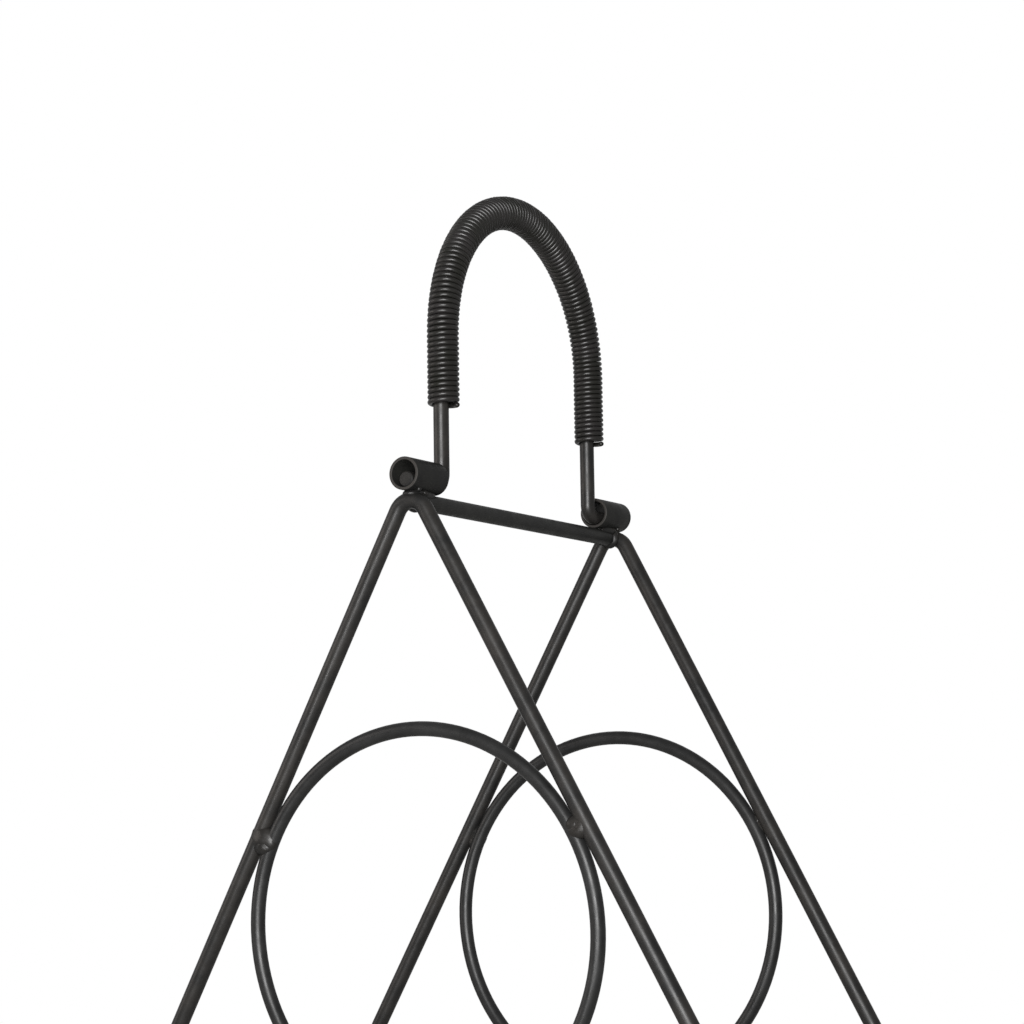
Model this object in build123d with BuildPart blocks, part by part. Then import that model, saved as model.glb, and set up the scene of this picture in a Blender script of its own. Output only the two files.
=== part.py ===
from build123d import *
import math
import os

os.makedirs("parts", exist_ok=True)

# Bottle caddy of bent and welded steel wire: two triangular frames, three bottle
# rings in each, three cross bars between them, and a bail handle with a coil grip.
# Millimetres. +X is right, +Y is away from the front along the bottles, +Z is up.
# The origin is on the floor, under the middle of the caddy.

# Stock
frame_wire = 4.4        # rod of the two frames, diameter
bar_wire = 4.4          # rod of the cross bars, diameter
ring_wire = 3.8         # rod of the bottle rings, diameter
handle_wire = 4.1       # rod of the bail handle, diameter

# Frames and bottle rings
ring_bore = 96.0        # clear inside diameter of a bottle ring
apex_angle = 57.2       # degrees between a frame's two legs
bend_radius = 4.7       # frame corners, to the middle of the rod
frame_spacing = 106.0   # front frame to back frame at the top rings, middle to middle
frame_lean = 1.5        # degrees that each frame leans outwards towards its top
root_gap = 0.1          # gap that a weld bridges between two pieces

# Weld beads
ring_weld_length = 7.0  # bead in the groove where a ring meets its neighbour
ring_weld_radius = 2.3
bar_weld_length = 6.6   # collar bead round the end of a cross bar
bar_weld_radius = 3.1
tube_weld_length = 9.0  # bead under a pivot tube
tube_weld_radius = 2.3

# Pivot tubes of the handle
tube_outer = 8.6        # outside diameter
tube_wall = 0.8
tube_length = 15.4
tube_inset = 4.0        # middle of the tube, inwards from the apex
tube_edge = 0.2         # edge break on the rims

# Bail handle
handle_height = 80.5    # hinge axis to the middle of the rod at the top
handle_bend = 3.4       # bend from leg to hinge pin, to the middle of the rod
pin_clearance = 0.08    # under the pin, where it rests in its tube
pin_recess = 1.0        # end of the pin, inside the tube's outer end
mouth_gap = 0.1         # end of the bend to the tube's inner end
pin_edge = 0.3          # edge break on the pin's end
stop_clearance = 0.25   # handle leg to cross bar at the end of the swing

# Coil grip
coil_wire = 1.1
coil_outer = 8.6        # outside diameter of the coil
coil_turns = 96
coil_start = 21.4       # hinge axis to the coil's lower ends
coil_seat = 0.3         # coil to handle rod, on the side where it leans
coil_gap_limit = 0.4    # least gap between neighbouring turns

# Places in a frame's own plane, measured from the middle of the top ring
ring_radius = ring_bore / 2 + ring_wire / 2
leg_reach = ring_radius + ring_wire / 2 + root_gap + frame_wire / 2
half_angle = apex_angle / 2
half_sin = math.sin(math.radians(half_angle))
half_cos = math.cos(math.radians(half_angle))
half_tan = half_sin / half_cos
apex_rise = leg_reach / half_sin
lower_ring_x = ring_radius + ring_wire / 2 + root_gap / 2
lower_ring_drop = lower_ring_x / half_tan
base_drop = lower_ring_drop + leg_reach
corner_x = (apex_rise + base_drop) * half_tan

# Middle of the rod at the middle of each bend, where a cross bar meets it
base_half_angle = (90 - half_angle) / 2
corner_cut = bend_radius * (1 / math.sin(math.radians(base_half_angle)) - 1)
top_bar_rise = apex_rise - bend_radius * (1 / half_sin - 1)
base_bar_rise = corner_cut * math.sin(math.radians(base_half_angle)) - base_drop
base_bar_x = corner_x - corner_cut * math.cos(math.radians(base_half_angle))

# The same places above the floor, with the frames leaning
lean_sin = math.sin(math.radians(frame_lean))
lean_cos = math.cos(math.radians(frame_lean))
frame_y = frame_spacing / 2
top_ring_z = base_drop * lean_cos + frame_wire / 2
top_bar_z = top_ring_z + top_bar_rise * lean_cos
base_bar_z = top_ring_z + base_bar_rise * lean_cos
apex_y = frame_y + top_bar_rise * lean_sin
corner_y = frame_y + base_bar_rise * lean_sin
top_bar_end_y = apex_y - frame_wire / 2 - root_gap
base_bar_end_y = corner_y - frame_wire / 2 - root_gap

# Handle, hinge and tubes
tube_z = top_bar_z + bar_wire / 2 + root_gap + tube_outer / 2
tube_bore = tube_outer - 2 * tube_wall
tube_y = apex_y - tube_inset
tube_inner_y = tube_y - tube_length / 2
tube_outer_y = tube_y + tube_length / 2
pivot_z = tube_z - (tube_bore - handle_wire) / 2 + pin_clearance
pin_end_y = tube_outer_y - pin_recess
bend_end_y = tube_inner_y - mouth_gap
leg_y = bend_end_y - handle_bend
leg_top_z = pivot_z + handle_height - leg_y

sides = {"front": -1, "back": 1}
hands = {"left": -1, "right": 1}
ring_places = {
    "top": (0, 0),
    "left": (-lower_ring_x, -lower_ring_drop),
    "right": (lower_ring_x, -lower_ring_drop),
}

# Plane of each frame: X is right, Y is up along the frame
frame_planes = {
    side: Plane(
        origin=(0, way * frame_y, top_ring_z),
        x_dir=(1, 0, 0),
        z_dir=(0, -lean_cos, way * lean_sin),
    )
    for side, way in sides.items()
}


# A frame lying flat, with the middle of its top ring at the origin: X is right, Y is up
# along the frame. It is one rod bent to a closed triangle.
with BuildPart() as flat_frame:
    with BuildLine() as outline:
        FilletPolyline(
            (corner_x, -base_drop),
            (0, apex_rise),
            (-corner_x, -base_drop),
            radius=bend_radius,
            close=True,
        )
    rod_path = outline.wire()
    with BuildSketch(Plane(origin=rod_path @ 0, z_dir=rod_path % 0)):
        Circle(frame_wire / 2)
    sweep(path=rod_path)

# Its three bottle rings, one over two
flat_rings = {}
for place, spot in ring_places.items():
    with BuildPart() as ring:
        with Locations(spot):
            Torus(ring_radius, ring_wire / 2)
    flat_rings[place] = ring.part

# Frames and rings in their places
frames = {}
for side, plane in frame_planes.items():
    frames[side] = flat_frame.part.moved(plane.location)
    frames[side].label = f"{side}_frame"
    export_step(frames[side], f"parts/{side}_frame.step")
    for place, flat_ring in flat_rings.items():
        ring_part = flat_ring.moved(plane.location)
        ring_part.label = f"{side}_{place}_ring"
        export_step(ring_part, f"parts/{side}_{place}_ring.step")


# Cross bars: one at each corner of the triangles
with BuildPart(Plane(origin=(0, 0, top_bar_z), z_dir=(0, 1, 0))) as top_crossbar:
    Cylinder(bar_wire / 2, 2 * top_bar_end_y)
top_crossbar.part.label = "top_crossbar"
export_step(top_crossbar.part, "parts/top_crossbar.step")

base_bars = {}
for hand, way in hands.items():
    with BuildPart(Plane(origin=(way * base_bar_x, 0, base_bar_z), z_dir=(0, 1, 0))) as bar:
        Cylinder(bar_wire / 2, 2 * base_bar_end_y)
    bar.part.label = f"{hand}_base_bar"
    export_step(bar.part, f"parts/{hand}_base_bar.step")
    base_bars[hand] = bar.part


# Pivot tubes: each lies on an end of the top cross bar
tubes = {}
for side, way in sides.items():
    with BuildPart(Plane(origin=(0, way * tube_y, tube_z), z_dir=(0, 1, 0))) as tube:
        Cylinder(tube_outer / 2, tube_length)
        Hole(tube_bore / 2)
        chamfer(tube.edges().filter_by(GeomType.CIRCLE), tube_edge)
    tube.part.label = f"{side}_pivot_tube"
    export_step(tube.part, f"parts/{side}_pivot_tube.step")
    tubes[side] = tube.part


# Bail handle: one rod, bent outwards at both ends into the tubes
with BuildPart() as handle_rod:
    with BuildLine(Plane.YZ) as bail:
        front_pin = Line((-pin_end_y, pivot_z), (-bend_end_y, pivot_z))
        front_bend = JernArc(front_pin @ 1, front_pin % 1, handle_bend, 90)
        front_leg = Line(front_bend @ 1, (-leg_y, leg_top_z))
        arch = JernArc(front_leg @ 1, front_leg % 1, leg_y, -180)
        back_leg = Line(arch @ 1, (leg_y, pivot_z + handle_bend))
        back_bend = JernArc(back_leg @ 1, back_leg % 1, handle_bend, 90)
        Line(back_bend @ 1, (pin_end_y, pivot_z))
    bail_path = bail.wire()
    with BuildSketch(Plane(origin=bail_path @ 0, z_dir=bail_path % 0)):
        Circle(handle_wire / 2)
    sweep(path=bail_path)
    pin_faces = handle_rod.faces().sort_by(Axis.Y)
    chamfer(pin_faces[0].edges() + pin_faces[-1].edges(), pin_edge)
handle_rod.part.label = "handle_rod"
export_step(handle_rod.part, "parts/handle_rod.step")


# Coil grip: one wire wound round the handle, leaning to one side of it.
# The coil's middle line runs up the front leg, over the arch and down the back leg.
coil_radius = coil_outer / 2 - coil_wire / 2
coil_lean = coil_radius - coil_wire / 2 - handle_wire / 2 - coil_seat
coil_low_z = pivot_z + coil_start
coil_leg = leg_top_z - coil_low_z
coil_arch = math.pi * leg_y
coil_length = 2 * coil_leg + coil_arch
coil_arch_middle = Vector(coil_lean, 0, leg_top_z)


def coil_point(turn):
    """Point on the wire's middle line, and its direction, at a count of turns."""
    along = coil_length * turn / coil_turns
    bend = min(max((along - coil_leg) / leg_y, 0), math.pi)
    straight = min(along - coil_leg, 0) + max(along - coil_leg - coil_arch, 0)
    outwards = Vector(0, -math.cos(bend), math.sin(bend))
    onwards = Vector(0, math.sin(bend), math.cos(bend))
    spin = 2 * math.pi * turn
    spoke = outwards * math.cos(spin) + Vector(1, 0, 0) * math.sin(spin)
    rim = Vector(1, 0, 0) * math.cos(spin) - outwards * math.sin(spin)
    on_arch = 0 < bend < math.pi
    stretch = 1 + coil_radius * math.cos(spin) / leg_y if on_arch else 1
    pitch = coil_length / coil_turns
    middle = coil_arch_middle + outwards * leg_y + onwards * straight
    heading = onwards * pitch * stretch + rim * 2 * math.pi * coil_radius
    return middle + spoke * coil_radius, heading.normalized()


def biarc_joint(start, start_way, end, end_way):
    """Where two arcs that leave and reach the ends in the given ways meet, and their way there."""
    chord = end - start
    both = start_way + end_way
    turn_back = 2 * (1 - start_way.dot(end_way))
    reach = math.sqrt(chord.dot(both) ** 2 + turn_back * chord.dot(chord))
    tangent = (reach - chord.dot(both)) / turn_back
    lead = start + start_way * tangent
    joint = (lead + end - end_way * tangent) / 2
    return joint, (joint - lead).normalized()


with BuildPart() as handle_coil:
    with BuildLine() as winding:
        start, start_way = coil_point(0)
        Line(start - start_way * coil_wire, start)
        for half_turn in range(2 * coil_turns):
            end, end_way = coil_point((half_turn + 1) / 2)
            joint, joint_way = biarc_joint(start, start_way, end, end_way)
            TangentArc(start, joint, tangent=start_way)
            TangentArc(joint, end, tangent=joint_way)
            start, start_way = end, end_way
        Line(start, start + start_way * coil_wire)
    coil_path = winding.wire()
    with BuildSketch(Plane(origin=coil_path @ 0, z_dir=coil_path % 0)):
        Circle(coil_wire / 2)
    sweep(path=coil_path)
handle_coil.part.label = "handle_coil"
export_step(handle_coil.part, "parts/handle_coil.step")


# Weld beads: round-ended blanks that fill the groove, cut by the pieces they join
def bead_blank(length, radius):
    """Blank of a weld bead, along X."""
    middle_length = length - 2 * radius
    with BuildPart() as blank:
        Cylinder(radius, middle_length, rotation=(0, 90, 90))
        with Locations((-middle_length / 2, 0, 0), (middle_length / 2, 0, 0)):
            Sphere(radius, rotation=(90, 0, 0))
    return blank.part


ring_bead = bead_blank(ring_weld_length, ring_weld_radius)
bar_bead = bead_blank(bar_weld_length, bar_weld_radius)
tube_bead = bead_blank(tube_weld_length, tube_weld_radius)

# Directions from each ring's middle to what it is welded to, in degrees from +X
weld_directions = {
    "top": (half_angle, 180 - half_angle),
    "left": (180 - half_angle, -90),
    "right": (half_angle, -90, 180),
}
weld_reach = ring_radius + ring_wire / 2 + root_gap / 2
spots = []
for place, directions in weld_directions.items():
    x, y = ring_places[place]
    for direction in directions:
        across = math.cos(math.radians(direction))
        up = math.sin(math.radians(direction))
        middle = (x + weld_reach * across, y + weld_reach * up, 0)
        spots.append(Plane(origin=middle, x_dir=(-up, across, 0), z_dir=(0, 0, 1)).location)
with BuildPart() as flat_welds:
    with Locations(*spots):
        add(ring_bead)
    add(flat_frame.part, mode=Mode.SUBTRACT)
    for flat_ring in flat_rings.values():
        add(flat_ring, mode=Mode.SUBTRACT)
for side, plane in frame_planes.items():
    ring_welds = flat_welds.part.moved(plane.location)
    ring_welds.label = f"{side}_ring_welds"
    export_step(ring_welds, f"parts/{side}_ring_welds.step")

for side, way in sides.items():
    bar_spot = Plane(origin=(0, way * top_bar_end_y, top_bar_z), x_dir=(0, 1, 0)).location
    groove_z = top_bar_z + bar_wire / 2 + root_gap / 2
    tube_spot = Plane(origin=(0, way * tube_y, groove_z), x_dir=(0, 1, 0)).location
    tube_place = Plane(origin=(0, way * tube_y, tube_z), z_dir=(0, 1, 0)).location
    with BuildPart() as apex_weld:
        with Locations(bar_spot):
            add(bar_bead)
        with Locations(tube_spot):
            add(tube_bead)
        with Locations(tube_place):
            Cylinder(tube_outer / 2, tube_length, mode=Mode.SUBTRACT)
        add(frames[side], mode=Mode.SUBTRACT)
        add(top_crossbar.part, mode=Mode.SUBTRACT)
    apex_weld.part.label = f"{side}_apex_weld"
    export_step(apex_weld.part, f"parts/{side}_apex_weld.step")

for hand, hand_way in hands.items():
    spots = [
        Plane(origin=(hand_way * base_bar_x, way * base_bar_end_y, base_bar_z), x_dir=(0, 1, 0)).location
        for way in sides.values()
    ]
    with BuildPart() as bar_welds:
        with Locations(*spots):
            add(bar_bead)
        for frame_part in frames.values():
            add(frame_part, mode=Mode.SUBTRACT)
        add(base_bars[hand], mode=Mode.SUBTRACT)
    bar_welds.part.label = f"{hand}_base_bar_welds"
    export_step(bar_welds.part, f"parts/{hand}_base_bar_welds.step")


# Figures that the drawing quotes
samples_a_turn = 24
points = [coil_point(step / samples_a_turn)[0] for step in range(coil_turns * samples_a_turn + 1)]
least_gap = min(
    (points[step] - points[other]).length - coil_wire
    for step in range(len(points))
    for other in range(step + samples_a_turn // 2, min(step + 2 * samples_a_turn, len(points)))
)
print(f"coil: {coil_turns} turns, least gap between turns {least_gap:.3f} (over {coil_gap_limit})")
lean_limit = (bar_wire + handle_wire) / 2 + stop_clearance
stop_angle = 180 - math.degrees(math.asin(lean_limit / (pivot_z - top_bar_z)))
print(f"handle: hinge axis at z {pivot_z:.3f}, swing to {stop_angle:.1f} degrees each way")
print(f"overall: {2 * corner_x:.1f} sharp width, {tube_outer_y * 2:.1f} deep, handle legs at y {leg_y:.2f}")
print(f"top rings: y {frame_y:.3f} z {top_ring_z:.3f}, lower rings {lower_ring_drop:.3f} down the frame")
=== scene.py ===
"""Looks of a bottle caddy: powder-coated steel wire, welded, with a coil spring for a grip.

Lengths are in metres, apart from those whose names end in _mm, the lens and the camera's sensor.
"""

import logging
import math
from collections.abc import Iterable
from dataclasses import dataclass
from enum import Enum, IntEnum

import bmesh
import bpy
from mathutils import Matrix, Vector, noise

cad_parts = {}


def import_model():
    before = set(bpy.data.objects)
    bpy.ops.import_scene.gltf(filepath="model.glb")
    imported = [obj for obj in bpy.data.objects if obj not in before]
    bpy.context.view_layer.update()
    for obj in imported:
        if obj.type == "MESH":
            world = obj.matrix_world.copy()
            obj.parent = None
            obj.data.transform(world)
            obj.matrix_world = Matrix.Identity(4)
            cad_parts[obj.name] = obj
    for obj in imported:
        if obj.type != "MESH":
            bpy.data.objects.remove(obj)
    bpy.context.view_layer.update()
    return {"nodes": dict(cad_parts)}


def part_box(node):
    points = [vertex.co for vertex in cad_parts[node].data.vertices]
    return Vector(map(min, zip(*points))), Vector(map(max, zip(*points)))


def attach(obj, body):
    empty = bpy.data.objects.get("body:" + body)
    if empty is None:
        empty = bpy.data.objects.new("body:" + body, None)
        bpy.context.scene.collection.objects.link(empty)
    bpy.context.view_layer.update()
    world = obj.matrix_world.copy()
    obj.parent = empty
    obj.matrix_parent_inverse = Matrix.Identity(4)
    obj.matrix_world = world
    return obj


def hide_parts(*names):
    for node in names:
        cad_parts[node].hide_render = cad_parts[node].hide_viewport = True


MM = 0.001
MERGE_DISTANCE = 0.002 * MM

log = logging.getLogger("bottle_caddy")


class Side(Enum):
    """Frame of the caddy, with the sign of its place along Y."""

    FRONT = -1
    BACK = 1

    @property
    def word(self) -> str:
        """Name of the side as the nodes are named."""
        return self.name.lower()


class Hand(Enum):
    """Left or right corner of the caddy, with the sign of its place along X."""

    LEFT = -1
    RIGHT = 1

    @property
    def word(self) -> str:
        """Name of the hand as the nodes are named."""
        return self.name.lower()


class Slot(Enum):
    """Names of three material slots: tube, weld and coil."""

    TUBE = "tube"
    WELD = "weld"
    COIL = "coil"


class Mix(IntEnum):
    """Places of a colour mix's sockets, whose names it shares with its other kinds."""

    SHARE = 0
    FIRST = 6
    SECOND = 7
    RESULT = 2


def linear(code: str) -> tuple[float, float, float, float]:
    """Turn an sRGB hex colour to the linear colour that the shaders take.

    Args:
        code: colour as "#rrggbb".

    Returns:
        Red, green, blue and alpha, linear.
    """
    channels = [int(code[start:start + 2], 16) / 255 for start in (1, 3, 5)]
    values = [c / 12.92 if c <= 0.04045 else ((c + 0.055) / 1.055) ** 2.4 for c in channels]
    return (values[0], values[1], values[2], 1.0)


def per_metre(spacing_mm: float) -> float:
    """Scale of a pattern whose features lie this many millimetres apart."""
    return 1 / (spacing_mm * MM)


def add_node(
    tree: bpy.types.NodeTree,
    kind: str,
    inputs: dict[str | int, object] | None = None,
    **attributes: object,
) -> bpy.types.Node:
    """Add a node with its settings and links.

    Args:
        tree: tree that gets the node.
        kind: Blender's type name of the node.
        inputs: for each input socket, a value or the output socket that feeds it.
        attributes: settings of the node itself.

    Returns:
        The new node.
    """
    node = tree.nodes.new(kind)
    for name, value in attributes.items():
        setattr(node, name, value)
    for name, value in (inputs or {}).items():
        if isinstance(value, bpy.types.NodeSocket):
            tree.links.new(value, node.inputs[name])
        else:
            node.inputs[name].default_value = value
    return node


def new_tree(name: str) -> tuple[bpy.types.Material, bpy.types.NodeTree]:
    """Make an empty node material.

    Args:
        name: name of the material.

    Returns:
        The material and its node tree.
    """
    material = bpy.data.materials.new(name)
    material.use_nodes = True
    material.node_tree.nodes.clear()
    return material, material.node_tree


@dataclass(frozen=True)
class Coating:
    """A black coat baked on steel.

    The coat is even and satin. It rounds every edge a little, has a faint orange peel, and is a
    shade browner where it is thin.

    Attributes:
        name: name of the material.
        colour: sRGB hex colour of the full coat.
        thin_colour: sRGB hex colour where the coat is thin.
        roughness: mean roughness of the surface.
        roughness_spread: how far the roughness wanders either way.
        specular: specular level, low for a coat with a matting agent in it.
        peel_mm: spacing of the orange peel. The real one is about half as wide, which would be
            lost between two pixels.
        peel_depth_mm: depth of the orange peel.
        sag_mm: spacing of the slow waves, where the powder flowed before it set.
        sag_depth_mm: depth of the slow waves.
        patch_mm: spacing of the thin places.
    """

    name: str
    colour: str = "#060606"
    thin_colour: str = "#0d0c0b"
    roughness: float = 0.36
    roughness_spread: float = 0.07
    specular: float = 0.055
    peel_mm: float = 1.1
    peel_depth_mm: float = 0.012
    sag_mm: float = 5.0
    sag_depth_mm: float = 0.05
    patch_mm: float = 9.0

    def relief(self, tree: bpy.types.NodeTree, place: bpy.types.NodeSocket) -> bpy.types.NodeSocket:
        """Lay the orange peel on the slow waves.

        Args:
            tree: tree of the material.
            place: coordinates of the surface.

        Returns:
            The bumped normal.
        """
        sag = add_node(tree, "ShaderNodeTexNoise", {
            "Vector": place, "Scale": per_metre(self.sag_mm), "Detail": 1.0})
        waves = add_node(tree, "ShaderNodeBump", {
            "Height": sag.outputs["Fac"], "Distance": self.sag_depth_mm * MM, "Strength": 1.0})
        peel = add_node(tree, "ShaderNodeTexNoise", {
            "Vector": place, "Scale": per_metre(self.peel_mm), "Detail": 3.0, "Roughness": 0.6})
        skin = add_node(tree, "ShaderNodeBump", {
            "Height": peel.outputs["Fac"], "Distance": self.peel_depth_mm * MM, "Strength": 1.0,
            "Normal": waves.outputs["Normal"]})
        return skin.outputs["Normal"]

    def tint(self, tree: bpy.types.NodeTree, place: bpy.types.NodeSocket) -> bpy.types.NodeSocket:
        """Mix the full and the thin coat in patches.

        Args:
            tree: tree of the material.
            place: coordinates of the surface.

        Returns:
            The colour of the coat.
        """
        patches = add_node(tree, "ShaderNodeTexNoise", {
            "Vector": place, "Scale": per_metre(self.patch_mm), "Detail": 5.0, "Roughness": 0.65})
        share = add_node(tree, "ShaderNodeMapRange", {
            "Value": patches.outputs["Fac"], "From Min": 0.35, "From Max": 0.7})
        coat = add_node(tree, "ShaderNodeMix", {
            Mix.SHARE: share.outputs["Result"],
            Mix.FIRST: linear(self.colour),
            Mix.SECOND: linear(self.thin_colour)},
            data_type="RGBA")
        return coat.outputs[Mix.RESULT]

    def gloss(self, tree: bpy.types.NodeTree, place: bpy.types.NodeSocket) -> bpy.types.NodeSocket:
        """Let the roughness wander about its mean.

        Args:
            tree: tree of the material.
            place: coordinates of the surface.

        Returns:
            The roughness.
        """
        grain = add_node(tree, "ShaderNodeTexNoise", {
            "Vector": place, "Scale": per_metre(self.sag_mm / 2), "Detail": 4.0})
        level = add_node(tree, "ShaderNodeMapRange", {
            "Value": grain.outputs["Fac"], "From Min": 0.3, "From Max": 0.7,
            "To Min": self.roughness - self.roughness_spread,
            "To Max": self.roughness + self.roughness_spread})
        return level.outputs["Result"]

    def material(self) -> bpy.types.Material:
        """Make the material.

        Returns:
            The material, on the piece's own Object coordinates.
        """
        material, tree = new_tree(self.name)
        place = add_node(tree, "ShaderNodeTexCoord").outputs["Object"]
        coat = add_node(tree, "ShaderNodeBsdfPrincipled", {
            "Base Color": self.tint(tree, place),
            "Roughness": self.gloss(tree, place),
            "Specular IOR Level": self.specular,
            "Normal": self.relief(tree, place)})
        add_node(tree, "ShaderNodeOutputMaterial", {"Surface": coat.outputs["BSDF"]})
        return material


@dataclass(frozen=True)
class RimHighlightCoating(Coating):
    """The coat on a cut tube, with a painted highlight: its colour is a little lighter over the two
    rims.

    Attributes:
        rim_highlight_colour: sRGB hex colour of the painted highlight on the rims.
        rim_near: distance along Y from the middle of the caddy to the tube's inner end.
        rim_far: distance to the tube's outer end.
        rim_highlight_width: width of the painted highlight band.
    """

    rim_highlight_colour: str = "#100f0e"
    rim_near: float = 44.12 * MM
    rim_far: float = 59.52 * MM
    rim_highlight_width: float = 0.3 * MM

    def tint(self, tree: bpy.types.NodeTree, place: bpy.types.NodeSocket) -> bpy.types.NodeSocket:
        """Paint a highlight on the rims by lightening the coat's colour there.

        Args:
            tree: tree of the material.
            place: coordinates of the surface.

        Returns:
            The colour of the coat, with the painted highlight on the rims.
        """
        coat = super().tint(tree, place)
        along = add_node(tree, "ShaderNodeSeparateXYZ", {"Vector": place}).outputs["Y"]
        # Painted highlight: a mask over the last bit of each rim mixes a lighter colour into the
        # coat
        reach = add_node(
            tree, "ShaderNodeMath", {0: along}, operation="ABSOLUTE").outputs["Value"]
        outer = add_node(tree, "ShaderNodeMapRange", {
            "Value": reach, "From Min": self.rim_far - self.rim_highlight_width, "From Max": self.rim_far})
        inner = add_node(tree, "ShaderNodeMapRange", {
            "Value": reach, "From Min": self.rim_near + self.rim_highlight_width, "From Max": self.rim_near})
        rims = add_node(tree, "ShaderNodeMath", {
            0: outer.outputs["Result"], 1: inner.outputs["Result"]}, operation="MAXIMUM")
        mixed = add_node(tree, "ShaderNodeMix", {
            Mix.SHARE: rims.outputs["Value"], Mix.FIRST: coat, Mix.SECOND: linear(self.rim_highlight_colour)},
            data_type="RGBA")
        return mixed.outputs[Mix.RESULT]


def to_object(mesh: bmesh.types.BMesh, name: str, material: bpy.types.Material) -> bpy.types.Object:
    """Close a piece's mesh, shade it smooth and put it in the scene.

    Args:
        mesh: finished mesh, which is freed.
        name: name of the piece.
        material: its finish.

    Returns:
        The new object, at the origin.
    """
    bmesh.ops.remove_doubles(mesh, verts=mesh.verts, dist=MERGE_DISTANCE)
    bmesh.ops.recalc_face_normals(mesh, faces=mesh.faces)
    for face in mesh.faces:
        face.smooth = True
    data = bpy.data.meshes.new(name)
    mesh.to_mesh(data)
    mesh.free()
    data.materials.append(material)
    piece = bpy.data.objects.new(name, data)
    bpy.context.scene.collection.objects.link(piece)
    return piece


@dataclass
class PivotTube:
    """A short thin tube, sawn off, deburred and coated, in which a hinge pin turns.

    Attributes:
        side: frame that carries the tube.
        finish: its coat.
        wall: thickness of the wall.
        edge: radius of the deburred rims.
        edge_steps: faces across a rounded rim.
        sharp: angle between two faces above which their edge is a rim.
        segments: faces round the tube.
    """

    side: Side
    finish: bpy.types.Material
    wall: float = 0.8 * MM
    edge: float = 0.2 * MM
    edge_steps: int = 4
    sharp: float = math.radians(60)
    segments: int = 64

    def build(self) -> bpy.types.Object:
        """Make the tube where its node is and put it in the node's place.

        Returns:
            The tube.
        """
        node = f"{self.side.word}_pivot_tube"
        low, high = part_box(node)
        radius = (high.z - low.z) / 2
        length = high.y - low.y
        mesh = bmesh.new()
        # A flat ring, drawn out to the tube's length, with its rims rounded
        bmesh.ops.create_circle(mesh, segments=self.segments, radius=radius)
        bmesh.ops.create_circle(mesh, segments=self.segments, radius=radius - self.wall)
        bmesh.ops.bridge_loops(mesh, edges=mesh.edges[:])
        wall = bmesh.ops.extrude_face_region(mesh, geom=mesh.faces[:])
        moved = [item for item in wall["geom"] if isinstance(item, bmesh.types.BMVert)]
        bmesh.ops.translate(mesh, verts=moved, vec=(0, 0, length))
        bmesh.ops.recalc_face_normals(mesh, faces=mesh.faces)
        rims = [e for e in mesh.edges if e.is_manifold and e.calc_face_angle() > self.sharp]
        bmesh.ops.bevel(
            mesh, geom=rims, affect="EDGES", offset=self.edge, segments=self.edge_steps,
            profile=0.5, material=-1)
        turn = Matrix.Rotation(math.pi / 2, 4, "X")
        middle = (low + high) / 2
        place = Matrix.Translation((middle.x, high.y, middle.z))
        bmesh.ops.transform(mesh, matrix=place @ turn, verts=mesh.verts)
        tube = to_object(mesh, f"{self.side.word}_tube_sawn", self.finish)
        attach(tube, "frame")
        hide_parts(node)
        return tube


@dataclass(frozen=True)
class Lump:
    """One blob of weld metal.

    Attributes:
        centre: its middle.
        along: unit vector along the seam.
        across: unit vector from one welded piece to the other.
        size: half its length, half its width, half its thickness.
    """

    centre: Vector
    along: Vector
    across: Vector
    size: tuple[float, float, float]

    def place(self) -> Matrix:
        """Turn the blob to its seam and move it there.

        Returns:
            The turn and the place in one matrix.
        """
        out = self.along.cross(self.across)
        turn = Matrix((self.along, self.across, out)).transposed().to_4x4()
        return Matrix.Translation(self.centre) @ turn


@dataclass
class WeldBeads:
    """The weld metal of one node: blobs with ripples across the seam, under the coat.

    Attributes:
        name: name of the piece.
        node: CAD node that it stands for.
        lumps: its blobs.
        finish: the coat.
        ripple: spacing of the ripples.
        ripple_depth: their depth.
        ripple_slant: how far a ripple runs along the seam for each millimetre across it.
        rough: how far the blob's outline wanders.
        rough_spacing: spacing of that wander.
        fine: how many times closer a second, finer wander lies.
        fine_share: its depth as a share of the first one's.
        subdivisions: how often the blob's icosphere is divided.
    """

    name: str
    node: str
    lumps: list[Lump]
    finish: bpy.types.Material
    ripple: float = 1.1 * MM
    ripple_depth: float = 0.03 * MM
    ripple_slant: float = 0.15
    rough: float = 0.2 * MM
    rough_spacing: float = 2.3 * MM
    fine: float = 2.7
    fine_share: float = 0.35
    subdivisions: int = 4

    def shape(self, mesh: bmesh.types.BMesh, lump: Lump) -> None:
        """Add one blob, stretched along its seam, rippled and roughened.

        Args:
            mesh: mesh that gets the blob.
            lump: the blob.
        """
        ball = bmesh.ops.create_icosphere(mesh, subdivisions=self.subdivisions, radius=1.0)
        half_length, half_width, half_depth = lump.size
        for vert in ball["verts"]:
            way = vert.co.normalized()
            point = Vector((way.x * half_length, way.y * half_width, way.z * half_depth))
            phase = 2 * math.pi * (point.x + self.ripple_slant * point.y) / self.ripple
            wave = math.cos(phase)
            spot = (lump.centre + point) / self.rough_spacing
            swell = noise.noise(spot) * self.rough
            swell += noise.noise(spot * self.fine) * self.rough * self.fine_share
            vert.co = point + way * (swell + wave * self.ripple_depth * (1 - abs(way.x)))
        bmesh.ops.transform(mesh, matrix=lump.place(), verts=ball["verts"])

    def build(self) -> bpy.types.Object:
        """Make the beads and put them in their node's place.

        Returns:
            The piece.
        """
        mesh = bmesh.new()
        for lump in self.lumps:
            self.shape(mesh, lump)
        piece = to_object(mesh, self.name, self.finish)
        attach(piece, "frame")
        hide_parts(self.node)
        return piece


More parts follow.
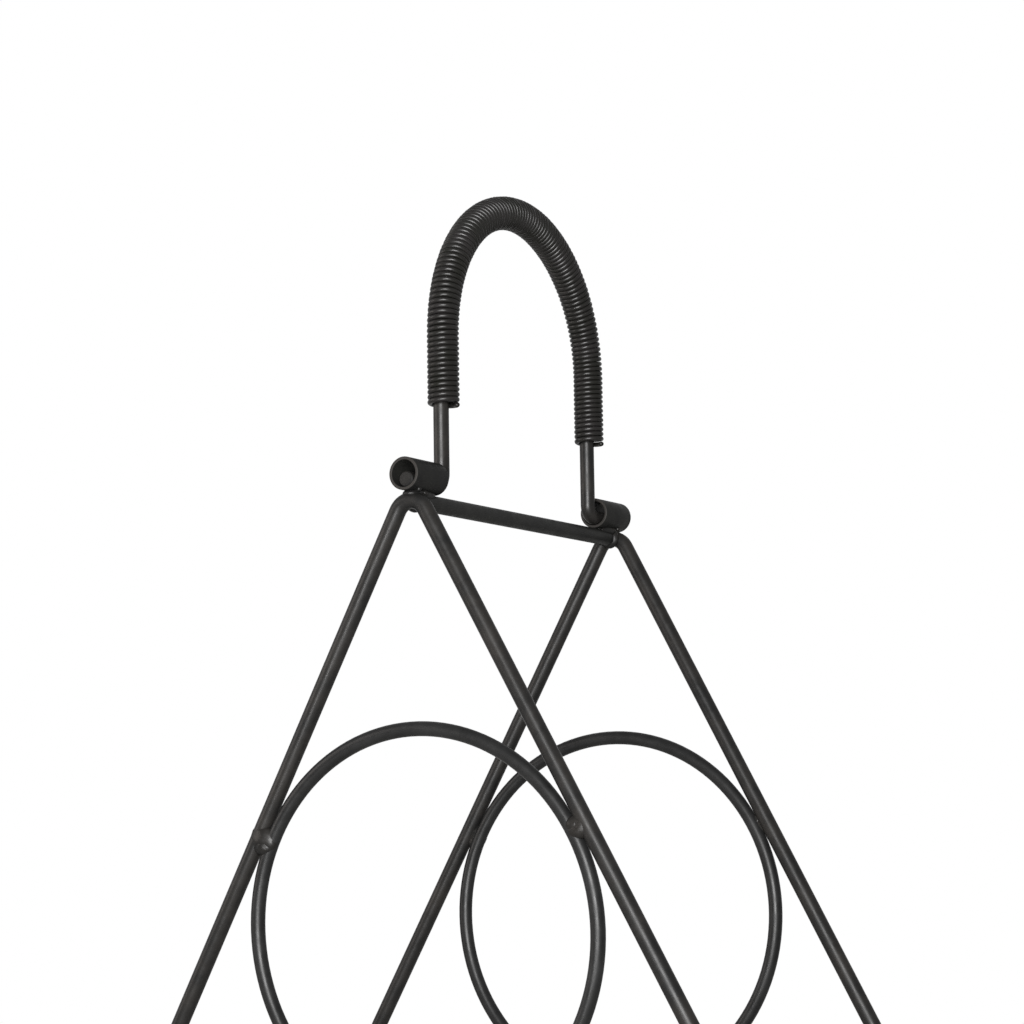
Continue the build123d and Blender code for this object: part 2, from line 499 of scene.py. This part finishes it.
@dataclass
class WeldShop:
    """All the weld metal of the caddy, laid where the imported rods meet.

    Attributes:
        finish: the coat on the welds.
        half_angle: half the angle between a frame's two legs, in radians.
        lean: how far each frame leans outwards towards its top, in radians.
        root_gap: gap that a weld bridges between two rods.
        ring_bead: half length, width and thickness of a bead between two rods side by side.
        ring_share: share of its width by which a bead lies over to the thicker rod.
        ring_out: how far a bead lies out of the rods' own plane, on the side it was laid from.
        light_share: size of the other ring beads as a share of the one at the top ring's left.
        second_size: length and width of a bead's second blob as a share of the first one's.
        second_slip: how far it lies off the first one, along the seam and back across it, as a
            share of the first one's half length and width.
        slips: how far the beads at the legs of each frame's top ring lie off the seam's middle,
            down the leg: left and right.
        bar_bead: half sizes of the collar at the end of the top cross bar.
        base_bead: half sizes of the collar at the end of a base bar.
        tube_bead: half sizes of the bead right under a pivot tube, which stays out of its bore.
        fillet: half sizes of the beads along both sides of that one.
        fillet_reach: how far these lie to the side.
        fillet_drop: how far they lie under the middle one.
        shoulder: half sizes of the bead between the tube and the frame's bend.
        spatter: places of the drops at an apex: to the right, inwards from the frame's outer face,
            and over the seam under the tube.
        drop: radius of a drop.
    """

    finish: bpy.types.Material
    half_angle: float = math.radians(28.6)
    lean: float = math.radians(1.5)
    root_gap: float = 0.1 * MM
    ring_bead: tuple[float, float, float] = (3.5 * MM, 4.1 * MM, 1.95 * MM)
    ring_share: float = 0.07
    ring_out: float = 0.75 * MM
    light_share: float = 0.84
    second_size: tuple[float, float] = (0.75, 0.7)
    second_slip: tuple[float, float] = (0.45, 0.2)
    slips: tuple[float, float] = (2.6 * MM, 0.3 * MM)
    bar_bead: tuple[float, float, float] = (1.7 * MM, 3.2 * MM, 2.9 * MM)
    base_bead: tuple[float, float, float] = (1.6 * MM, 2.7 * MM, 2.7 * MM)
    tube_bead: tuple[float, float, float] = (5.6 * MM, 1.9 * MM, 0.8 * MM)
    fillet: tuple[float, float, float] = (5.4 * MM, 0.9 * MM, 1.25 * MM)
    fillet_reach: float = 1.4 * MM
    fillet_drop: float = 0.35 * MM
    shoulder: tuple[float, float, float] = (2.3 * MM, 2.2 * MM, 1.2 * MM)
    spatter: tuple[tuple[float, float, float], ...] = (
        (2.0 * MM, 2.7 * MM, 0.6 * MM),
        (1.9 * MM, 5.6 * MM, -0.1 * MM),
        (2.3 * MM, 4.6 * MM, -2.1 * MM),
    )
    drop: float = 0.75 * MM

    def ring_lumps(self, side: Side) -> list[Lump]:
        """Beads between the rings, the frame and one another.

        Args:
            side: frame that holds the rings.

        Returns:
            Two blobs for each of the seven seams, one a little off the other.
        """
        slope = self.half_angle
        right = Vector((1, 0, 0))
        up = Vector((0, side.value * math.sin(self.lean), math.cos(self.lean)))
        out = Vector((0, side.value * math.cos(self.lean), -math.sin(self.lean)))
        # Ways from each ring's middle to its seams, as angles from the right
        seams = {
            "top": (slope, math.pi - slope),
            "left": (math.pi - slope, -math.pi / 2),
            "right": (slope, -math.pi / 2, math.pi),
        }
        second_length, second_width = self.second_size
        slip_along, slip_across = self.second_slip
        lumps = []
        for ring, ways in seams.items():
            low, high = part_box(f"{side.word}_{ring}_ring")
            middle = (low + high) / 2
            reach = (high.x - low.x) / 2 + self.root_gap / 2
            for way in ways:
                across = right * math.cos(way) + up * math.sin(way)
                along = up * math.cos(way) - right * math.sin(way)
                on_left = across.x < 0
                slip = self.slips[0 if on_left else 1] if ring == "top" else 0.0
                scale = 1.0 if ring == "top" and on_left else self.light_share
                length, width, depth = (part * scale for part in self.ring_bead)
                seam = middle + across * (reach + width * self.ring_share) + out * self.ring_out
                seam -= along * math.copysign(slip, across.x)
                lumps.append(Lump(seam, along, across, (length, width, depth)))
                second = seam + along * length * slip_along - across * width * slip_across
                size = (length * second_length, width * second_width, depth)
                lumps.append(Lump(second, along, across, size))
        return lumps

    def apex_lumps(self, side: Side) -> list[Lump]:
        """Collar at the end of the top cross bar, and beads and drops under the pivot tube.

        Args:
            side: frame that is welded.

        Returns:
            The blobs.
        """
        bar_low, bar_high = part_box("top_crossbar")
        tube_low, tube_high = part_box(f"{side.word}_pivot_tube")
        bar_end = Vector((0, side.value * bar_high.y, (bar_low.z + bar_high.z) / 2))
        groove = Vector((0, (tube_low.y + tube_high.y) / 2, bar_high.z + self.root_gap / 2))
        along = Vector((0, side.value, 0))
        across = Vector((side.value, 0, 0))
        frame_low, frame_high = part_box(f"{side.word}_frame")
        face_y = max(abs(frame_low.y), abs(frame_high.y))
        shoulder_y = side.value * (face_y - self.shoulder[0])
        bend = Vector((0, shoulder_y, groove.z - self.shoulder[2] / 2))
        drops = [Vector((x, side.value * (face_y - y), groove.z + z)) for x, y, z in self.spatter]
        aside = Vector((self.fillet_reach, 0, 0))
        under = groove - Vector((0, 0, self.fillet_drop))
        return [
            Lump(bar_end, along, across, self.bar_bead),
            Lump(groove, along, across, self.tube_bead),
            Lump(under - aside, along, across, self.fillet),
            Lump(under + aside, along, across, self.fillet),
            Lump(bend, along, across, self.shoulder),
        ] + [Lump(drop, along, across, (self.drop, self.drop, self.drop)) for drop in drops]

    def base_lumps(self, hand: Hand) -> list[Lump]:
        """Collars at the two ends of a base bar.

        Args:
            hand: corner of the caddy.

        Returns:
            The blobs.
        """
        low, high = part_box(f"{hand.word}_base_bar")
        middle = (low + high) / 2
        lumps = []
        for side in Side:
            end = Vector((middle.x, side.value * high.y, middle.z))
            along = Vector((0, side.value, 0))
            across = Vector((side.value, 0, 0))
            lumps.append(Lump(end, along, across, self.base_bead))
        return lumps

    def build(self) -> list[bpy.types.Object]:
        """Lay every weld.

        Returns:
            One piece for each CAD node of welds.
        """
        pieces = []
        for side in Side:
            word = side.word
            rings = WeldBeads(
                f"{word}_ring_beads", f"{word}_ring_welds", self.ring_lumps(side), self.finish)
            apex = WeldBeads(
                f"{word}_apex_beads", f"{word}_apex_weld", self.apex_lumps(side), self.finish)
            pieces += [rings.build(), apex.build()]
        for hand in Hand:
            word = hand.word
            base = WeldBeads(
                f"{word}_base_beads", f"{word}_base_bar_welds", self.base_lumps(hand), self.finish)
            pieces.append(base.build())
        return pieces


@dataclass
class GripCoil:
    """The close-wound spring that is pushed over the bail for a grip.

    Its turns touch on the straight legs. Over the arch they touch on the inside, open a little
    on the outside, and spread to an oval.

    Attributes:
        finish: finish of the wire.
        wire: diameter of the wire.
        outer: outside diameter of the coil on a leg.
        spread: how much more it measures at the top of the arch.
        pitch: length of coil for each turn where the turns touch.
        lean: how far the coil hangs to one side of the rod.
        drop: how far it hangs under the rod's own line at the top.
        arch_radius: radius of the bail's arch, to the middle of the rod.
        arch_z: height of the arch's middle.
        low_z: height of the coil's lower ends.
        blend: length of coil over which the pitch changes between leg and arch.
        first_cut: share of a turn, from the arch's outside, at which the front end is cut off.
        last_cut: the same for the back end.
        points_a_turn: points of the wire's line for each turn.
        wire_steps: how finely the wire's section is rounded.
        loose_turns: turns at the back end that stand a little apart.
        loose_share: how much wider their pitch is.
        wobble: how far a turn strays sideways.
        wobble_rate: how fast it strays, in noise cells a turn.
        wobble_row: row of the noise that makes the turns stray.
        wobble_seed: seed of that noise, which would else come from the clock.
    """

    finish: bpy.types.Material
    wire: float = 1.38 * MM
    outer: float = 8.5 * MM
    spread: float = 0.85 * MM
    pitch: float = 1.35 * MM
    lean: float = 0.8 * MM
    drop: float = 0.5 * MM
    arch_radius: float = 40.62 * MM
    arch_z: float = 304.32 * MM
    low_z: float = 285.84 * MM
    blend: float = 25.0 * MM
    first_cut: float = 0.33
    last_cut: float = 0.17
    points_a_turn: int = 24
    wire_steps: int = 3
    loose_turns: float = 3.0
    loose_share: float = 0.08
    wobble: float = 0.03 * MM
    wobble_rate: float = 0.7
    wobble_row: float = 4.2
    wobble_seed: int = 4

    @property
    def leg(self) -> float:
        """Length of coil on a straight leg."""
        return self.arch_z - self.low_z

    @property
    def arch(self) -> float:
        """Length of coil on the arch."""
        return math.pi * self.arch_radius

    @property
    def length(self) -> float:
        """Length of the whole coil, along its middle line."""
        return 2 * self.leg + self.arch

    def bend(self, along: float) -> float:
        """Angle that the coil has turned through, at a distance from its front end."""
        return min(max((along - self.leg) / self.arch_radius, 0), math.pi)

    def radius(self, along: float) -> float:
        """Radius of the coil there, to the middle of the wire."""
        return (self.outer - self.wire + self.spread * math.sin(self.bend(along)) ** 2) / 2

    def turn_length(self, along: float) -> float:
        """Length of the coil's middle line that one turn takes.

        Args:
            along: distance from the coil's front end.

        Returns:
            The pitch there.
        """
        inside = min(along - self.leg, self.leg + self.arch - along) / self.blend
        share = min(max(inside, 0), 1)
        curved = self.pitch / (1 - self.radius(along) / self.arch_radius)
        loose = max(0.0, 1 - (self.length - along) / (self.loose_turns * self.pitch))
        return (self.pitch + (curved - self.pitch) * share) * (1 + self.loose_share * loose)

    def middle(self, along: float) -> tuple[Vector, Vector]:
        """Point of the coil's middle line, and the way outwards from the arch there.

        Args:
            along: distance from the coil's front end.

        Returns:
            The point and the unit vector.
        """
        bend = self.bend(along)
        straight = min(along - self.leg, 0) + max(along - self.leg - self.arch, 0)
        outwards = Vector((0, -math.cos(bend), math.sin(bend)))
        onwards = Vector((0, math.sin(bend), math.cos(bend)))
        reach = self.arch_radius - self.drop * math.sin(bend) ** 2
        point = Vector((self.lean, 0, self.arch_z)) + outwards * reach
        return point + onwards * straight, outwards

    def line(self) -> list[Vector]:
        """Wind the middle line of the wire, from the front end to the back end.

        Returns:
            Its points.
        """
        noise.seed_set(self.wobble_seed)
        across = Vector((1, 0, 0))
        along = 0.0
        turn = self.first_cut
        step = 1 / self.points_a_turn
        points = []
        while along < self.length or (turn - self.last_cut) % 1 > step:
            middle, outwards = self.middle(along)
            spin = 2 * math.pi * turn
            stray = noise.noise_vector((turn * self.wobble_rate, self.wobble_row, 0))
            spoke = outwards * math.cos(spin) + across * math.sin(spin)
            points.append(middle + spoke * self.radius(along) + stray * self.wobble)
            along += self.turn_length(along) * step
            turn += step
        return points

    def build(self) -> bpy.types.Object:
        """Wind the wire and put it in its node's place.

        Returns:
            The coil.
        """
        points = self.line()
        curve = bpy.data.curves.new("grip_coil_line", "CURVE")
        curve.dimensions = "3D"
        curve.bevel_depth = self.wire / 2
        curve.bevel_resolution = self.wire_steps
        curve.use_fill_caps = True
        spline = curve.splines.new("POLY")
        spline.points.add(len(points) - 1)
        for spot, point in zip(spline.points, points):
            spot.co = (*point, 1)
        line = bpy.data.objects.new("grip_coil_line", curve)
        data = bpy.data.meshes.new_from_object(line)
        bpy.data.objects.remove(line)
        mesh = bmesh.new()
        mesh.from_mesh(data)
        bpy.data.meshes.remove(data)
        coil = to_object(mesh, "grip_coil", self.finish)
        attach(coil, "handle")
        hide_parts("handle_coil")
        return coil


@dataclass
class RodWork:
    """The rods of the caddy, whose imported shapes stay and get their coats.

    Attributes:
        nodes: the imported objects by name.
        frame_finish: coat of the two frames.
        bar_finish: coat of the cross bars.
        ring_finish: coat of the bottle rings.
        handle_finish: coat of the bail.
    """

    nodes: dict[str, bpy.types.Object]
    frame_finish: bpy.types.Material
    bar_finish: bpy.types.Material
    ring_finish: bpy.types.Material
    handle_finish: bpy.types.Material

    def dress(self, names: Iterable[str], finish: bpy.types.Material) -> None:
        """Give each named rod its finish.

        Args:
            names: names of the nodes.
            finish: the coat.
        """
        for name in names:
            for slot in self.nodes[name].material_slots:
                slot.material = finish
            log.info("dressed %s", name)

    def build(self) -> None:
        """Dress every rod."""
        self.dress([f"{side.word}_frame" for side in Side], self.frame_finish)
        self.dress(["top_crossbar", "left_base_bar", "right_base_bar"], self.bar_finish)
        rings = [f"{side.word}_{place}_ring" for side in Side for place in ("top", "left", "right")]
        self.dress(rings, self.ring_finish)
        self.dress(["handle_rod"], self.handle_finish)


@dataclass(frozen=True)
class SoftBox:
    """A square studio lamp.

    Attributes:
        name: name of the lamp.
        place: where it hangs.
        aim: point that it faces.
        size: length of its side.
        power: watts.
        colour: sRGB hex colour of its light.
    """

    name: str
    place: tuple[float, float, float]
    aim: tuple[float, float, float]
    size: float
    power: float
    colour: str = "#ffffff"

    def build(self) -> None:
        """Hang the lamp."""
        lamp = bpy.data.lights.new(self.name, "AREA")
        lamp.shape = "SQUARE"
        lamp.size = self.size
        lamp.energy = self.power
        lamp.color = linear(self.colour)[:3]
        light = bpy.data.objects.new(self.name, lamp)
        way = Vector(self.aim) - Vector(self.place)
        turn = way.to_track_quat("-Z", "Y").to_matrix().to_4x4()
        light.matrix_world = Matrix.Translation(self.place) @ turn
        bpy.context.scene.collection.objects.link(light)


@dataclass
class Studio:
    """Floor, lamps, pale surroundings and camera.

    Attributes:
        floor_radius: radius of the round floor.
        floor_segments: straight sides of its rim.
        floor_drop: how far it lies under the caddy, so that the two don't share a plane.
        floor_clear: radius at which the floor starts to fade into the background.
        floor_gone: share of its radius at which it has faded away.
        floor_colour: sRGB hex colour of the floor.
        fill: strength of the surroundings on the object.
        lamps: a strong key lamp by the camera, a weak warm one to the left, and a small one low
            in front, which picks out the undersides.
        camera_place: where the camera stands.
        camera_turn: its turn to the left, seen from above, from looking along +Y, in radians.
        camera_tilt: its tilt upwards, in radians.
        camera_roll: its roll, in radians.
        lens: focal length in millimetres.
        sensor: width of the camera's sensor in millimetres.
        clip_start: distance from which the camera sees.
    """

    floor_radius: float = 1.2
    floor_segments: int = 96
    floor_drop: float = 0.05 * MM
    floor_clear: float = 0.45
    floor_gone: float = 0.97
    floor_colour: str = "#b4b3b1"
    fill: float = 0.85
    lamps: tuple[SoftBox, ...] = (
        SoftBox("key_lamp", place=(0.445, -0.953, 0.27), aim=(0, 0, 0.2), size=0.52, power=94.0),
        SoftBox("left_lamp", place=(-1.05, -0.75, 0.5), aim=(0, 0, 0.2), size=0.7, power=15.0,
                colour="#fff6f0"),
        SoftBox("low_lamp", place=(0.05, -0.62, 0.06), aim=(0, 0, 0.25), size=0.1, power=4.0),
    )
    camera_place: tuple[float, float, float] = (0.336697, -0.599255, 0.17779)
    camera_turn: float = 0.51463
    camera_tilt: float = 0.12157
    camera_roll: float = -0.01492
    lens: float = 88.873
    sensor: float = 36.0
    clip_start: float = 0.01

    def floor(self) -> None:
        """Lay a pale round floor that fades into the background at its rim."""
        mesh = bmesh.new()
        bmesh.ops.create_circle(
            mesh, segments=self.floor_segments, radius=self.floor_radius, cap_ends=True)
        bmesh.ops.translate(mesh, verts=mesh.verts, vec=(0, 0, -self.floor_drop))
        # Matt paper: no shine, only the caddy's soft shadows
        material, tree = new_tree("matt_studio_paper")
        place = add_node(tree, "ShaderNodeTexCoord").outputs["Object"]
        reach = add_node(tree, "ShaderNodeVectorMath", {0: place}, operation="LENGTH")
        share = add_node(tree, "ShaderNodeMapRange", {
            "Value": reach.outputs["Value"],
            "From Min": self.floor_clear,
            "From Max": self.floor_radius * self.floor_gone},
            interpolation_type="SMOOTHSTEP")
        paper = add_node(tree, "ShaderNodeBsdfDiffuse", {"Color": linear(self.floor_colour)})
        clear = add_node(tree, "ShaderNodeBsdfTransparent")
        faded = add_node(tree, "ShaderNodeMixShader", {
            0: share.outputs["Result"], 1: paper.outputs["BSDF"], 2: clear.outputs["BSDF"]})
        add_node(tree, "ShaderNodeOutputMaterial", {"Surface": faded.outputs["Shader"]})
        to_object(mesh, "floor", material)

    def surroundings(self) -> None:
        """Show a white background to the camera and to reflections, and light the object softly."""
        world = bpy.data.worlds.new("pale_studio")
        world.use_nodes = True
        tree = world.node_tree
        tree.nodes.clear()
        rays = add_node(tree, "ShaderNodeLightPath").outputs
        seen = add_node(tree, "ShaderNodeMath", {
            0: rays["Is Camera Ray"], 1: rays["Is Glossy Ray"]}, operation="MAXIMUM")
        shown = add_node(tree, "ShaderNodeMath", {
            0: seen.outputs["Value"], 1: rays["Is Transmission Ray"]}, operation="MAXIMUM")
        soft = add_node(tree, "ShaderNodeBackground", {
            "Color": linear("#ffffff"), "Strength": self.fill})
        white = add_node(tree, "ShaderNodeBackground", {
            "Color": linear("#ffffff"), "Strength": 1.0})
        mixed = add_node(tree, "ShaderNodeMixShader", {
            0: shown.outputs["Value"],
            1: soft.outputs["Background"],
            2: white.outputs["Background"]})
        add_node(tree, "ShaderNodeOutputWorld", {"Surface": mixed.outputs["Shader"]})
        bpy.context.scene.world = world

    def camera(self) -> None:
        """Stand the camera where the photograph was taken from."""
        data = bpy.data.cameras.new("camera")
        data.sensor_width = self.sensor
        data.lens = self.lens
        data.clip_start = self.clip_start
        camera = bpy.data.objects.new("camera", data)
        camera.matrix_world = (
            Matrix.Translation(self.camera_place)
            @ Matrix.Rotation(self.camera_turn, 4, "Z")
            @ Matrix.Rotation(math.pi / 2 + self.camera_tilt, 4, "X")
            @ Matrix.Rotation(self.camera_roll, 4, "Z"))
        bpy.context.scene.collection.objects.link(camera)
        bpy.context.scene.camera = camera

    def build(self) -> None:
        """Set up the whole studio."""
        self.floor()
        self.surroundings()
        for lamp in self.lamps:
            lamp.build()
        self.camera()
        bpy.context.scene.view_settings.view_transform = "Standard"


def main() -> None:
    """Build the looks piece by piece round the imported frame."""
    logging.basicConfig(level=logging.INFO, format="%(name)s: %(message)s")
    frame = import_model()

    # Black epoxy powder on drawn wire: satin, with one soft streak of light and faint brown patches
    rod = Coating("powder_coated_steel_rod")
    bail = Coating("powder_coated_steel_bail")
    # The same on the rings, where the brown hardly shows
    ring = Coating("powder_coated_steel_ring", thin_colour="#0b0b0b")
    # A drier coat in the shade between the frames: duller, with next to no streak
    bar = Coating(
        "powder_coated_steel_bar", colour="#070707", thin_colour="#0c0c0b", roughness=0.46,
        specular=0.045)
    # Powder over rippled weld metal: darker, browner, and broken up into small glints
    weld = Coating(
        "powder_coated_weld_metal", colour="#050505", thin_colour="#0a0908", roughness=0.35,
        specular=0.053, peel_mm=0.8, peel_depth_mm=0.01, sag_mm=2.8, sag_depth_mm=0.02)
    # Powder on sawn tube: nearly matt, with a thin painted highlight along the rims
    tube = RimHighlightCoating(
        "powder_coated_cut_tube", thin_colour="#0b0b0a", roughness=0.5, specular=0.035)
    # Hard spring wire, blacked before it was wound: smoother, with a clear glint on each turn
    spring = Coating(
        "blackened_spring_wire", colour="#060605", thin_colour="#0b0a0a", roughness=0.31,
        specular=0.065, sag_mm=7.0, sag_depth_mm=0.03)

    RodWork(
        frame["nodes"], rod.material(), bar.material(), ring.material(), bail.material()).build()
    tube_finish = tube.material()
    for side in Side:
        log.info("built %s", PivotTube(side, tube_finish).build().name)
    for beads in WeldShop(weld.material()).build():
        log.info("built %s", beads.name)
    log.info("built %s", GripCoil(spring.material()).build().name)
    Studio().build()
    log.info("built the studio")


if __name__ == "__main__":
    main()
